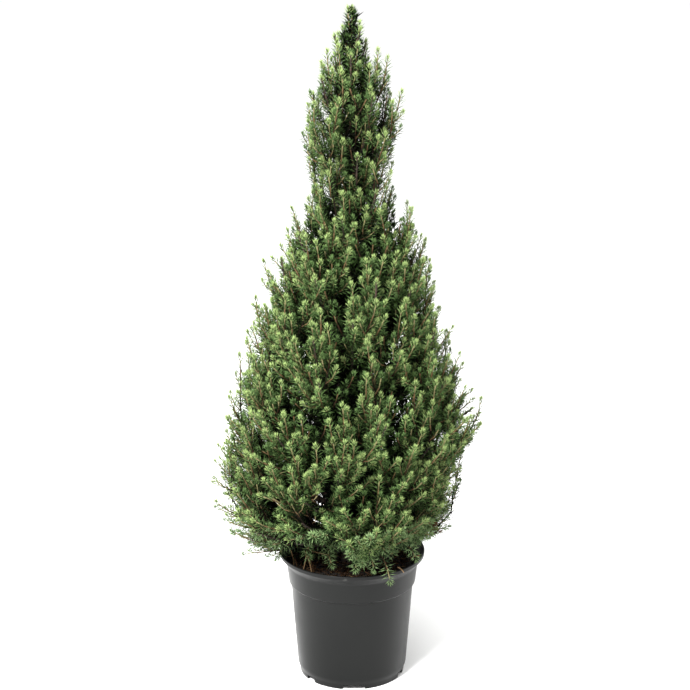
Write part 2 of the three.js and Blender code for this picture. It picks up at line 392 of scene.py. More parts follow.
def peat():
    """Damp peat with bark fines: almost black, browner where a crumb has dried, and without gleam."""
    crumb_size = 2.38  # millimetres, as the patches
    patch_size = 3.85
    material, tree, shader = new_material("damp_peat_and_bark_fines")
    place = node(tree, "ShaderNodeTexCoord").outputs["Object"]
    crumbs = node(
        tree,
        "ShaderNodeTexVoronoi",
        links={"Vector": place},
        values={"Scale": 1000 / crumb_size},
    )
    grain = node(
        tree,
        "ShaderNodeTexNoise",
        links={"Vector": place},
        values={"Scale": 1000 / patch_size, "Detail": 6.0},
    )
    tint = node(tree, "ShaderNodeValToRGB", links={"Fac": grain.outputs["Fac"]})
    tint.color_ramp.elements[0].position = 0.35
    tint.color_ramp.elements[0].color = linear("#0b0805")
    tint.color_ramp.elements[1].position = 0.72
    tint.color_ramp.elements[1].color = linear("#2b2018")
    tree.links.new(tint.outputs["Color"], shader.inputs["Base Color"])
    bump = node(
        tree,
        "ShaderNodeBump",
        links={"Height": crumbs.outputs["Distance"]},
        values={"Strength": 0.9, "Distance": 0.002},
    )
    tree.links.new(bump.outputs["Normal"], shader.inputs["Normal"])
    shader.inputs["Roughness"].default_value = 0.95
    return material


soil.data.materials.append(peat())
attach(soil, "root")
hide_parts("potting_mix")

# ---- Crown outline -------------------------------------------------------------------------------
# How far the crown reaches at each height and bearing is read off the CAD foliage masses, by looking
# in from all round. Gaps between masses are closed over, so that shoots can grow across them.

foliage_nodes = [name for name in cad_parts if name.startswith("foliage_")]
outline_step = 0.01  # between the rows of readings
outline_turns = 72  # readings in a row
needle_reach = 0.005  # how far the needles stand out past a shoot's tip


def mass_surfaces():
    """One search tree over the triangles of every foliage mass."""
    points, faces = [], []
    for name in foliage_nodes:
        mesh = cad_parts[name].data
        start = len(points)
        points.extend(v.co.copy() for v in mesh.vertices)
        faces.extend([start + i for i in polygon.vertices] for polygon in mesh.polygons)
    return BVHTree.FromPolygons(points, faces)


surfaces = mass_surfaces()
crown_low = min(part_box(name)[0].z for name in foliage_nodes)
crown_top = max(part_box(name)[1].z for name in foliage_nodes)
outline_rows = int((crown_top - crown_low) / outline_step) + 1
outline = np.zeros((outline_rows, outline_turns))
for row in range(outline_rows):
    for turn in range(outline_turns):
        bearing = turn * math.tau / outline_turns
        out = Vector((math.cos(bearing), math.sin(bearing), 0.0))
        start = out * 0.5 + Vector((0.0, 0.0, crown_low + (row + 0.3) * outline_step))
        hit = surfaces.ray_cast(start, -out)[0]
        outline[row, turn] = math.hypot(hit.x, hit.y) if hit else 0.0
for fold in (np.max, np.mean):
    padded = np.pad(np.pad(outline, ((1, 1), (0, 0)), "edge"), ((0, 0), (1, 1)), "wrap")
    around = [padded[i : i + outline_rows, j : j + outline_turns] for i in range(3) for j in range(3)]
    outline = fold(around, axis=0)


def swell(height, middle, spread):
    """1 at a middle height, falling off to 0 above and below it."""
    return math.exp(-(((height - middle) / spread) ** 2))


def crown_radius(height, bearing):
    """The crown's reach from the axis at a height and a bearing, short of the needles' own length."""
    row = min(max((height - crown_low) / outline_step, 0.0), outline_rows - 1.001)
    turn = (bearing / math.tau % 1.0) * outline_turns
    i, j = int(row), int(turn) % outline_turns
    k = (j + 1) % outline_turns
    low = outline[i, j] + (outline[i, k] - outline[i, j]) * (turn - int(turn))
    high = outline[i + 1, j] + (outline[i + 1, k] - outline[i + 1, j]) * (turn - int(turn))
    reach = max(low + (high - low) * (row - i) - needle_reach, 0.004)
    waist = 0.19 * swell(height, 0.752, 0.034)
    head = 0.14 * swell(height, 0.868, 0.048)
    right = 0.09 * swell(height, 0.31, 0.05) * max(0.0, math.cos(bearing))
    left = 0.05 * swell(height, 0.25, 0.04) * max(0.0, -math.cos(bearing))
    return reach * (1.0 - waist + head - right + left)


# ---- Trunk and boughs ----------------------------------------------------------------------------
# The stem and the limbs that it carries. The stem follows the CAD trunk; each CAD bough is carried on
# through its mass to the outline, and finer boughs fill in between them by the golden angle.

rng = random.Random(23)
golden_angle = math.pi * (3 - math.sqrt(5))
main_girth = 0.0046  # a main bough's radius at the trunk
trunk_points = np.array([v.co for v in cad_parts["trunk"].data.vertices])
trunk_points = trunk_points[np.argsort(trunk_points[:, 2])]
ring_starts = np.flatnonzero(np.diff(trunk_points[:, 2]) > 0.003) + 1
trunk_rings = np.split(trunk_points, ring_starts)
trunk_middle = np.array([ring.mean(axis=0) for ring in trunk_rings])
trunk_girth = np.array([np.hypot(*(ring - ring.mean(axis=0)).T[:2]).mean() for ring in trunk_rings])


def trunk_at(height):
    """The middle of the stem at a height."""
    x = np.interp(height, trunk_middle[:, 2], trunk_middle[:, 0])
    y = np.interp(height, trunk_middle[:, 2], trunk_middle[:, 1])
    return np.array([x, y, height])


def curve_through(start, middle, end, steps):
    """Points along a smooth curve from start to end that passes through middle."""
    reach = np.linalg.norm(middle - start)
    share = reach / (reach + np.linalg.norm(end - middle))
    pull = (middle - start * (1 - share) ** 2 - end * share**2) / (2 * share * (1 - share))
    t = np.linspace(0.0, 1.0, steps)[:, None]
    return start * (1 - t) ** 2 + pull * 2 * t * (1 - t) + end * t**2


def crown_foot(bearing):
    """The lowest height that shoots reach at a bearing: low at the left, lifted off the pot in front."""
    turns = [0, 60, 120, 165, 188, 204, 222, 250, 265, 300, 335, 360]
    heights = [0.203, 0.2, 0.2, 0.19, 0.172, 0.2, 0.268, 0.262, 0.236, 0.23, 0.222, 0.203]
    return np.interp(math.degrees(bearing) % 360, turns, heights)


def kept_in(path, spare):
    """The same path, drawn in wherever it would swing out past the crown's outline."""
    for point in path:
        reach = math.hypot(point[0], point[1])
        limit = crown_radius(point[2], math.atan2(point[1], point[0])) * spare
        if reach > limit and point[2] > crown_low:
            point[:2] *= limit / reach
    return path


def climb(height):
    """How much a bough that ends at this height rises for each metre outwards."""
    return np.interp(height, [0.19, 0.24, 0.30, 0.45, 0.65, 0.85], [0.05, 0.25, 0.55, 0.95, 1.5, 2.1])


bough_nodes = [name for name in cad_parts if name.startswith("bough_")]
boughs = []  # each is a path, the radius at its foot and the radius at its tip
for name in bough_nodes:
    shape = np.array([v.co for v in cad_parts[name].data.vertices])
    away = np.hypot(shape[:, 0], shape[:, 1])
    inner = shape[np.argsort(away)[:6]].mean(axis=0)
    outer = shape[np.argsort(away)[-6:]].mean(axis=0)
    bearing = math.atan2(outer[1], outer[0])
    reach = crown_radius(outer[2], bearing)
    tip_height = outer[2] + climb(outer[2] + 0.05) * (reach - math.hypot(outer[0], outer[1]))
    tip_height = max(tip_height, crown_foot(bearing) + 0.01)
    reach = crown_radius(tip_height, bearing) * 0.97
    tip = np.array([reach * math.cos(bearing), reach * math.sin(bearing), tip_height])
    start = trunk_at(max(inner[2] - 0.004, soil_level * MM))
    if name == "bough_low_left":
        # The bare one runs out level and then turns straight up.
        knee = np.array([outer[0] * 0.96, outer[1] * 0.96, inner[2] + 0.018])
        boughs.append((curve_through(start, knee, outer, 24), main_girth, 0.0024))
    else:
        boughs.append((kept_in(curve_through(start, outer, tip, 20), 0.98), main_girth, 0.0012))

fine_boughs = 74
for i in range(fine_boughs):
    share = (i + 0.5) / fine_boughs
    tip_height = 0.215 + 0.735 * share**1.05
    bearing = i * golden_angle
    tip_height = max(tip_height, crown_foot(bearing) + 0.01)
    reach = crown_radius(tip_height, bearing) * rng.uniform(0.86, 0.96)
    foot = max(tip_height - climb(tip_height) * reach, soil_level * MM + 0.008)
    start = trunk_at(foot)
    out = np.array([math.cos(bearing), math.sin(bearing), 0.0])
    tip = out * reach + [0.0, 0.0, tip_height]
    middle = start + (tip - start) * 0.45 - [0.0, 0.0, 0.14 * (tip_height - foot)]
    girth = np.interp(tip_height, [0.2, 0.9], [0.0038, 0.0022])
    boughs.append((kept_in(curve_through(start, middle, tip, 18), 0.98), girth, 0.0011))


def tubes(name, paths, radii, sides, tones, materials):
    """Joined round limbs: one closed tube for each path, with a radius at each of its points."""
    curve = bpy.data.curves.new(name, "CURVE")
    curve.dimensions = "3D"
    curve.fill_mode = "FULL"
    curve.bevel_depth = 1.0
    curve.bevel_resolution = (sides - 4) // 2
    curve.use_fill_caps = True
    for material in materials:
        curve.materials.append(material)
    for path, girths, tone in zip(paths, radii, tones):
        spline = curve.splines.new("POLY")
        spline.points.add(len(path) - 1)
        spline.points.foreach_set("co", np.column_stack([path, np.ones(len(path))]).ravel())
        spline.points.foreach_set("radius", np.asarray(girths, float))
        spline.material_index = tone
    holder = add_object(name + "_line", curve)
    graph = bpy.context.evaluated_depsgraph_get()
    mesh = bpy.data.meshes.new_from_object(holder.evaluated_get(graph), depsgraph=graph)
    mesh.name = name
    bpy.data.objects.remove(holder)
    bm = bmesh.new()
    bm.from_mesh(mesh)
    bmesh.ops.remove_doubles(bm, verts=bm.verts, dist=1e-7)
    bm.to_mesh(mesh)
    bm.free()
    return add_object(name, mesh)


def spruce_bark():
    """Young spruce bark: dull grey brown, thin, and breaking into small scales that lift at the edge."""
    scale_size = 3.03  # millimetres, as the patches
    patch_size = 8.33
    material, tree, shader = new_material("thin_flaky_spruce_bark")
    place = node(tree, "ShaderNodeTexCoord").outputs["Object"]
    flakes = node(
        tree,
        "ShaderNodeTexVoronoi",
        links={"Vector": place},
        values={"Scale": 1000 / scale_size},
    )
    shade = node(
        tree,
        "ShaderNodeTexNoise",
        links={"Vector": place},
        values={"Scale": 1000 / patch_size, "Detail": 5.0},
    )
    tint = node(tree, "ShaderNodeValToRGB", links={"Fac": shade.outputs["Fac"]})
    tint.color_ramp.elements[0].position = 0.32
    tint.color_ramp.elements[0].color = linear("#150f0b")
    tint.color_ramp.elements[1].position = 0.7
    tint.color_ramp.elements[1].color = linear("#3f2e22")
    tree.links.new(tint.outputs["Color"], shader.inputs["Base Color"])
    bump = node(
        tree,
        "ShaderNodeBump",
        links={"Height": flakes.outputs["Distance"]},
        values={"Strength": 0.8, "Distance": 0.0012},
    )
    tree.links.new(bump.outputs["Normal"], shader.inputs["Normal"])
    shader.inputs["Roughness"].default_value = 0.85
    return material


trunk_heights = np.linspace(soil_level * MM - 0.002, trunk_middle[-1, 2] + 0.002, 240)
trunk_line = np.array([trunk_at(z) for z in trunk_heights])
trunk_radii = np.interp(trunk_heights, trunk_middle[:, 2], trunk_girth)
trunk_radii += 0.0035 * np.exp(-(trunk_heights - trunk_heights[0]) / 0.010)
trunk_radii *= np.interp(trunk_heights, [0.90, trunk_heights[-1]], [1.0, 0.4])
limbs = tubes(
    "trunk_and_boughs",
    [trunk_line] + [path for path, _, _ in boughs],
    [trunk_radii] + [np.linspace(foot, end, len(path)) for path, foot, end in boughs],
    8,
    [0] * (len(boughs) + 1),
    [spruce_bark()],
)
# The bark's relief: ridges 4 mm across with scales of 1.6 mm on them, up to half a millimetre high.
bark_points = [v.co.copy() for v in limbs.data.vertices]
bark_normals = [v.normal.copy() for v in limbs.data.vertices]
for i, (point, normal) in enumerate(zip(bark_points, bark_normals)):
    ridge = noise.noise(point * 260) + 0.6 * noise.noise(point * 620)
    bark_points[i] = point + normal * ridge * 0.0004
limbs.data.vertices.foreach_set("co", np.array(bark_points).ravel())
limbs.data.update()
limbs.data.shade_smooth()
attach(limbs, "root")
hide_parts("trunk", *bough_nodes)

# ---- Shoots --------------------------------------------------------------------------------------
# Every bough branches into shoots that race to the outline. Leading shoots stand proud of it, a
# second layer stays a little inside, and inner ones fill the heart, their needles painted near black
# as shade. Side shoots leave each one in a spiral.

# Gaps right through the skirt, which slope down to the back: x and z where each crosses the plane
# y = 0, and its radius.
gap_slope = 0.40
windows = [(-0.047, 0.262, 0.010), (-0.057, 0.231, 0.009), (-0.106, 0.259, 0.008)]
# Hollows between the boughs, where the crown is open and dark: bearing, height and radius.
hollows = [
    (math.radians(266), 0.52, 0.026),
    (math.radians(292), 0.49, 0.025),
    (math.radians(303), 0.44, 0.022),
    (math.radians(262), 0.36, 0.020),
    (math.radians(206), 0.235, 0.026),
    (math.radians(250), 0.215, 0.03),
    (math.radians(95), 0.47, 0.028),
    (math.radians(150), 0.36, 0.026),
    (math.radians(20), 0.40, 0.026),
]


def in_window(point, spare):
    """True where a point lies in one of the gaps right through the crown."""
    for x, z, radius in windows:
        if math.hypot(point[0] - x, point[2] - z + gap_slope * point[1]) < radius + spare:
            return True
    return False


def in_hollow(point):
    """True where a point lies in one of the dark hollows."""
    for bearing, height, radius in hollows:
        reach = crown_radius(height, bearing)
        middle = (reach * math.cos(bearing), reach * math.sin(bearing), height)
        if math.dist(point, middle) < radius:
            return True
    return False


def lean(height):
    """How far a shoot's tip leans out from upright at a height, in degrees."""
    return np.interp(height, [0.17, 0.21, 0.27, 0.36, 0.5, 0.7, 0.95], [98, 78, 52, 34, 24, 15, 6])


def unit(vector):
    """A vector's direction."""
    return vector / np.linalg.norm(vector)


bough_spots = np.concatenate([path[4:] for path, _, _ in boughs] + [trunk_line[10::8]])
bough_ways = [np.gradient(path, axis=0)[4:] for path, _, _ in boughs]
bough_ways = np.concatenate(bough_ways + [np.gradient(trunk_line, axis=0)[10::8]])
bough_ways /= np.linalg.norm(bough_ways, axis=1)[:, None]
bough_reach = np.hypot(bough_spots[:, 0], bough_spots[:, 1])


def shoot_to(tip, way, length):
    """A shoot's path, from the bough nearest to where it would start, curving to its tip.

    A spot that is further out than the tip, or higher, is a poor place to start from.
    """
    wanted = tip - way * length
    cost = np.linalg.norm(bough_spots - wanted, axis=1)
    cost = cost + 10.0 * np.maximum(0.0, bough_reach - math.hypot(tip[0], tip[1]) + 0.012)
    cost = cost + 10.0 * np.maximum(0.0, bough_spots[:, 2] - tip[2] + 0.004)
    best = int(np.argmin(cost))
    start, heading = bough_spots[best], bough_ways[best]
    span = np.linalg.norm(tip - start)
    t = np.linspace(0.0, 1.0, 10)[:, None]
    first = start + heading * span * 0.3
    second = tip - way * span * 0.42
    return start * (1 - t) ** 3 + first * 3 * t * (1 - t) ** 2 + second * 3 * t**2 * (1 - t) + tip * t**3


def spread_tips(depth, row_step, arc_step, seed):
    """Tips laid out evenly over the outline, each with a bearing, at a share of the crown's reach.

    They are closer together in the skirt. In the spire they are fewer and more ragged.
    """
    draw = random.Random(seed)
    height = crown_low + 0.008
    while height < crown_top - 0.02:
        around = np.linspace(0.0, math.tau, 13)[:-1]
        mean_reach = np.mean([crown_radius(height, bearing) for bearing in around])
        spire = float(np.clip((height - 0.66) / 0.06, 0.0, 1.0))
        skirt = float(np.clip((0.34 - height) / 0.06, 0.0, 1.0))
        girth = math.tau * mean_reach * sum(depth) / 2
        count = max(2, round(girth / arc_step * (1.0 + 0.35 * skirt - 0.30 * spire)))
        turn = draw.uniform(0.0, math.tau)
        for i in range(count):
            bearing = turn + (i + draw.uniform(-0.36, 0.36)) * math.tau / count
            level = height + draw.uniform(-0.5, 0.5) * row_step
            if level < crown_foot(bearing) + draw.uniform(-0.004, 0.012):
                continue
            share = draw.uniform(depth[0] - 0.10 * spire, depth[1] + 0.09 * spire)
            reach = crown_radius(level, bearing) * share
            yield np.array([reach * math.cos(bearing), reach * math.sin(bearing), level]), bearing
        height += row_step * (1.0 + 0.3 * spire)


def tip_way(tip, bearing, draw, loose):
    """The direction in which a shoot's tip points."""
    slant = math.radians(lean(tip[2]) + draw.gauss(0.0, loose))
    aside = math.radians(draw.gauss(0.0, loose))
    out = np.array([math.cos(bearing + aside), math.sin(bearing + aside), 0.0])
    side = np.array([-math.sin(bearing), math.cos(bearing), 0.0]) * draw.gauss(0.0, loose / 70)
    return unit(out * math.sin(slant) + side + [0.0, 0.0, math.cos(slant)])


# The layers by rank, from the outline inwards. Each says what shares of the reach its tips lie at,
# the spacing of its rows and along them, its shoots' length, and the number and spacing of their
# side shoots.
layers = [
    {"depth": (0.94, 1.08), "row": 0.031, "arc": 0.032, "length": 0.120, "sides": 4, "gap": 0.013},
    {"depth": (0.80, 0.93), "row": 0.031, "arc": 0.032, "length": 0.085, "sides": 2, "gap": 0.014},
    {"depth": (0.52, 0.74), "row": 0.026, "arc": 0.026, "length": 0.070, "sides": 1, "gap": 0.015},
    {"depth": (0.16, 0.50), "row": 0.019, "arc": 0.023, "length": 0.060, "sides": 0, "gap": 0.015},
]
dead_rank = 4
shoots = []  # each is a path, the length that carries needles, its rank and whether it is a side shoot


def add_side_shoots(path, sides, gap, rank, draw):
    """Side shoots leave a leading shoot in a spiral, longer the further they are from its tip."""
    steps = np.linalg.norm(np.diff(path, axis=0), axis=1)
    from_tip = np.concatenate([[0.0], np.cumsum(steps[::-1])])
    turn = draw.uniform(0.0, math.tau)
    for k in range(sides):
        back = 0.046 - 0.008 * rank + k * gap * draw.uniform(0.85, 1.15)
        if back > from_tip[-1] - 0.01:
            break
        base = np.array([np.interp(back, from_tip, path[::-1, axis]) for axis in range(3)])
        ahead = np.array([np.interp(back - 0.005, from_tip, path[::-1, axis]) for axis in range(3)])
        way = unit(ahead - base)
        turn += golden_angle
        reference = [0.3, 0.1, 1.0] if abs(way[2]) < 0.9 else [1.0, 0.2, 0.0]
        across = unit(np.cross(way, reference))
        around = across * math.cos(turn) + np.cross(way, across) * math.sin(turn)
        outward = unit(np.array([base[0], base[1], 0.0]) + 1e-6)
        if around @ outward < -0.45:
            around = unit(around + outward * 1.1)
        length = min(0.040, 0.019 + 0.30 * (back - 0.036)) * draw.uniform(0.8, 1.2)
        first = unit(way + around * 0.72)
        last = unit(way + around * 0.25 + [0.0, 0.0, 0.2])
        tip = base + first * length * 0.5 + last * length * 0.5
        side_path = curve_through(base, base + first * length * 0.5, tip, 5)
        shoots.append((side_path, length * 0.96, rank, True))


longest_stride = 0.03  # a path with a longer step than this would cross the crown, and is left out
for rank, layer in enumerate(layers):
    draw = random.Random(100 + rank)
    for tip, bearing in spread_tips(layer["depth"], layer["row"], layer["arc"], 7 + rank):
        if rank < 2 and in_hollow(tip) or in_window(tip, 0.008):
            continue
        way = tip_way(tip, bearing, draw, 9.0)
        path = kept_in(shoot_to(tip, way, layer["length"] * draw.uniform(0.8, 1.15)), 1.09)
        if np.linalg.norm(np.diff(path, axis=0), axis=1).max() > longest_stride:
            continue
        shoots.append((path, layer["length"] * draw.uniform(0.85, 1.0), rank, False))
        add_side_shoots(path, layer["sides"], layer["gap"], rank, draw)
# The boughs' own tips are shoots too, apart from the bare one's and any over the potting mix.
for path, _, _ in boughs:
    x, y, z = path[-1]
    if in_window(path[-1], 0.008) or math.hypot(x, y) < 0.092 and z < 0.3:
        continue
    shoots.append((path, 0.09, 0, False))
    add_side_shoots(path, layers[0]["sides"], layers[0]["gap"], 0, rng)
# Shoots that stand apart, by start, middle, tip and the length that carries needles: low ones over
# the potting mix and the lip, then the fingers of the leader and the spire.
strays = [
    ((0.030, -0.080, 0.222), (0.046, -0.116, 0.215), (0.053, -0.126, 0.189), 0.050),
    ((0.010, -0.060, 0.216), (0.024, -0.098, 0.226), (0.030, -0.124, 0.206), 0.060),
    ((-0.012, -0.018, 0.200), (-0.034, -0.058, 0.214), (-0.028, -0.086, 0.196), 0.060),
    ((-0.070, -0.020, 0.196), (-0.060, -0.056, 0.208), (-0.026, -0.072, 0.206), 0.060),
    ((-0.010, -0.020, 0.196), (0.006, -0.070, 0.208), (0.004, -0.102, 0.197), 0.050),
    ((-0.088, -0.010, 0.205), (-0.100, -0.022, 0.196), (-0.109, -0.024, 0.182), 0.030),
    ((0.070, -0.030, 0.200), (0.084, -0.066, 0.214), (0.090, -0.082, 0.205), 0.045),
    ((0.000, 0.000, 0.925), (-0.005, -0.003, 0.950), (-0.0065, -0.004, 0.9715), 0.045),
    ((0.000, 0.000, 0.905), (0.007, -0.003, 0.930), (0.0095, -0.004, 0.953), 0.040),
    ((0.000, 0.000, 0.900), (-0.010, 0.003, 0.925), (-0.0135, 0.003, 0.945), 0.040),
    ((0.000, 0.000, 0.905), (0.002, 0.009, 0.930), (0.003, 0.012, 0.952), 0.040),
    ((0.006, -0.010, 0.760), (0.048, -0.016, 0.808), (0.066, -0.018, 0.862), 0.085),
    ((0.006, -0.006, 0.810), (0.029, -0.010, 0.870), (0.034, -0.012, 0.917), 0.065),
    ((0.006, -0.006, 0.800), (0.038, -0.008, 0.860), (0.047, -0.010, 0.906), 0.060),
    ((-0.006, -0.008, 0.800), (-0.028, -0.018, 0.860), (-0.034, -0.020, 0.917), 0.070),
    ((-0.004, -0.006, 0.830), (-0.018, -0.014, 0.880), (-0.021, -0.016, 0.930), 0.060),
    ((0.000, -0.010, 0.740), (0.004, -0.034, 0.800), (0.003, -0.040, 0.856), 0.080),
    ((-0.004, -0.010, 0.730), (-0.014, -0.040, 0.780), (-0.022, -0.046, 0.842), 0.080),
]
for start, middle, end, clothed in strays:
    path = curve_through(np.array(start), np.array(middle), np.array(end), 12)
    shoots.append((path, clothed, 0, False))
    if end[2] > 0.19:
        add_side_shoots(path, 2, 0.010, 0, random.Random(len(shoots)))
# One small spray low on the right has died, and keeps its brown needles.
fork = np.array([0.086, -0.030, 0.222])
bend = np.array([0.104, -0.044, 0.233])
for end in ((0.1180, -0.050, 0.246), (0.1235, -0.052, 0.236), (0.1130, -0.054, 0.250)):
    shoots.append((curve_through(fork, bend, np.array(end), 8), 0.022, dead_rank, True))
shoots.append((trunk_line, 0.13, 0, False))
add_side_shoots(trunk_line, layers[0]["sides"], layers[0]["gap"], 0, rng)

# ---- Twigs ---------------------------------------------------------------------------------------
# The bark of a young spruce shoot goes from cream under the tip, through tan, to an orange brown where
# it is two years old. Each shoot is cut into those lengths, and each length has one plain colour.


def plain(name, colour, roughness):
    """A finish of one plain colour, with the faint gleam of a thin wax coat."""
    material, _, shader = new_material(name)
    shader.inputs["Base Color"].default_value = linear(colour)
    shader.inputs["Roughness"].default_value = roughness
    shader.inputs["IOR"].default_value = 1.45
    shader.inputs["Specular IOR Level"].default_value = 0.07
    return material


# Bark that is new is waxy and smooth; it dulls, darkens and cracks with each year.
twig_finishes = [
    plain("cream_new_shoot_bark", "#6d6647", 0.6),
    plain("tan_shoot_bark", "#56442f", 0.65),
    plain("orange_brown_twig_bark", "#302218", 0.7),
    plain("dark_old_twig_bark", "#140e09", 0.8),
]
oldest = len(twig_finishes) - 1
bark_ages = [0.006, 0.020, 0.036, 0.062, 0.40]  # how far from the tip each finish starts and ends
bare_height = 0.27  # below this the inner twigs show, and above it the needles hide them
twig_paths, twig_radii, twig_tones = [], [], []
for path, _, rank, side in shoots:
    steps = np.linalg.norm(np.diff(path, axis=0), axis=1)
    from_tip = np.concatenate([[0.0], np.cumsum(steps[::-1])])
    whole = from_tip[-1]
    for age_and_painted_shade, (near, far) in enumerate(zip(bark_ages, bark_ages[1:])):
        inner = rank >= 2 and age_and_painted_shade < oldest or rank == 1 and side and age_and_painted_shade < 1
        hidden = inner and path[-1][2] > bare_height
        if near >= whole - 0.003 or hidden or rank >= 2 and side:
            continue
        far = min(far, whole)
        cuts = np.linspace(far, near, 2 if side else 2 + (age_and_painted_shade > 1))
        part = [np.interp(cuts, from_tip, path[::-1, axis]) for axis in range(3)]
        girth = np.interp(cuts, [0.0, 0.03, 0.1], [0.0008, 0.0009, 0.0012])
        twig_paths.append(np.column_stack(part))
        twig_radii.append(girth * (0.92 if side else 1.0))
        # Painted shade: twigs of shoots inside the outline take the next darker bark finish.
        twig_tones.append(min(age_and_painted_shade + (1 if rank else 0), oldest))
twigs = tubes("twigs", twig_paths, twig_radii, 4, twig_tones, twig_finishes)
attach(twigs, "root")

# ---- Needles -------------------------------------------------------------------------------------
# Stiff four-sided needles, set singly in a spiral. They lie close round the tip and open out behind
# it. Each is a closed spindle of four faces, and each spray takes plain colours by age and by painted
# shade.

# A needle's wax gives it a low satin gleam. New growth is a light yellow green. It deepens over the
# summer, and older needles are darker. Each rank further into the crown takes a darker finish as well,
# down to near black: that part is painted shade.
needle_finishes = [
    plain("fresh_tip_needles", "#80935a", 0.5),
    plain("new_needles", "#4c6338", 0.5),
    plain("summer_needles", "#223215", 0.5),
    plain("deep_green_needles", "#0b1205", 0.55),
    plain("painted_shade_needles", "#040802", 0.6),
    plain("new_blue_green_needles", "#6a8054", 0.5),
    plain("blue_green_needles", "#283a1e", 0.5),
    plain("deep_blue_green_needles", "#0e1809", 0.55),
    plain("dead_needles", "#5a3d2a", 0.8),
]
# The darker end of each list is painted shade, taken by needles deeper in the crown.
upper_tones = np.array([0, 1, 2, 3, 4])  # the finishes from the youngest needles to the most shaded
skirt_tones = np.array([5, 5, 6, 7, 4])  # the same in the skirt, which is a bluer green
dead_tone = 8
# By rank: the deeper in the crown, the fewer, wider and longer the needles.
needle_gap = (0.00098, 0.00116, 0.0019, 0.0030)
needle_width = (0.00138, 0.0015, 0.0030, 0.0054)
needle_stretch = (1.0, 1.0, 1.2, 1.5)

bm = bmesh.new()
for corner in ((0.0, 0.0, 0.35), (0.0, 1.0, 0.0), (0.5, 0.42, -0.2), (-0.5, 0.42, -0.2)):
    bm.verts.new(corner)
bmesh.ops.convex_hull(bm, input=bm.verts)
bmesh.ops.recalc_face_normals(bm, faces=bm.faces)
bm.verts.index_update()
needle_corners = np.array([v.co for v in bm.verts])  # across, along and up
needle_faces = np.array([[v.index for v in face.verts] for face in bm.faces])
bm.free()

needle_random = np.random.default_rng(41)
needles = {"base": [], "way": [], "side": [], "size": [], "tone": [], "level": []}


def clothe(path, clothed, rank, side):
    """Sets needles round the last stretch of a shoot."""
    steps = np.linalg.norm(np.diff(path, axis=0), axis=1)[::-1]
    from_tip = np.concatenate([[0.0], np.cumsum(steps)])
    clothed = min(clothed, from_tip[-1])
    dead = rank == dead_rank
    rank = 1 if dead else rank
    tip_level = path[-1][2]
    low = float(np.clip((0.30 - tip_level) / 0.08, 0.0, 1.0))  # 1 in the skirt and 0 above it
    back = 0.0
    places = []
    while back < clothed:
        places.append(back)
        crowded = 0.30 + 0.70 * min(back / 0.010, 1.0)
        thinned = 1.0 + 0.3 * min(back / 0.07, 1.0)
        back += needle_gap[rank] * crowded * thinned
    places = np.array(places)
    count = len(places)
    ways = np.diff(path, axis=0)[::-1] / steps[:, None]
    segment = np.clip(np.searchsorted(from_tip, places, side="right") - 1, 0, len(ways) - 1)
    way = ways[segment]
    base = np.column_stack([np.interp(places, from_tip, path[::-1, axis]) for axis in range(3)])
    reference = np.where(np.abs(way[:, 2:3]) < 0.9, [[0.0, 0.0, 1.0]], [[1.0, 0.0, 0.0]])
    across = np.cross(way, reference)
    across /= np.linalg.norm(across, axis=1)[:, None]
    upward = np.cross(across, way)
    turn = np.arange(count) * golden_angle + needle_random.uniform(0.0, math.tau)
    out = across * np.cos(turn)[:, None] + upward * np.sin(turn)[:, None]
    opened = 1 - np.exp(-places / (0.007 - 0.003 * low))
    open_out = np.radians(15 + (48 + 12 * low) * opened)
    open_out += needle_random.normal(0.0, 0.10, count)
    needle_way = way * np.cos(open_out)[:, None] + out * np.sin(open_out)[:, None]
    needle_way += [0.0, 0.0, 0.10]  # they bend a little to the light
    needle_way += needle_random.normal(0.0, 0.05, (count, 3))
    needle_way /= np.linalg.norm(needle_way, axis=1)[:, None]
    length = np.interp(places, [0.0, 0.012], [0.0068, 0.0122 + 0.0014 * low])
    length = length * needle_random.uniform(0.85, 1.12, count) * (0.9 if side else 1.0)
    length = length * needle_stretch[rank]
    width = np.full(count, needle_width[rank])
    age_and_painted_shade = np.searchsorted([0.008, 0.026, 0.055], places + needle_random.normal(0.0, 0.002, count))
    dull = side and rank == 0 and needle_random.random() < 0.35
    # Painted shade: each rank further into the crown takes a finish one step darker, down to near black.
    age_and_painted_shade = np.clip(age_and_painted_shade + rank + (1 if dull else 0), 0, 4)
    tones = skirt_tones if needle_random.random() < low else upper_tones
    needles["base"].append(base + out * 0.0005)
    needles["way"].append(needle_way)
    needles["side"].append(np.cross(needle_way, out))
    needles["size"].append(np.column_stack([width, length, width]))
    needles["tone"].append(np.full(count, dead_tone) if dead else tones[age_and_painted_shade])
    needles["level"].append(np.full(count, tip_level))


for shoot in shoots:
    clothe(*shoot)
needles = {name: np.concatenate(parts) for name, parts in needles.items()}
keep = np.ones(len(needles["base"]), bool)
spot = needles["base"] + needles["way"] * 0.004
for x, z, radius in windows:
    off = np.hypot(spot[:, 0] - x, spot[:, 2] - z + gap_slope * spot[:, 1])
    keep &= off > radius
needles = {name: values[keep] for name, values in needles.items()}


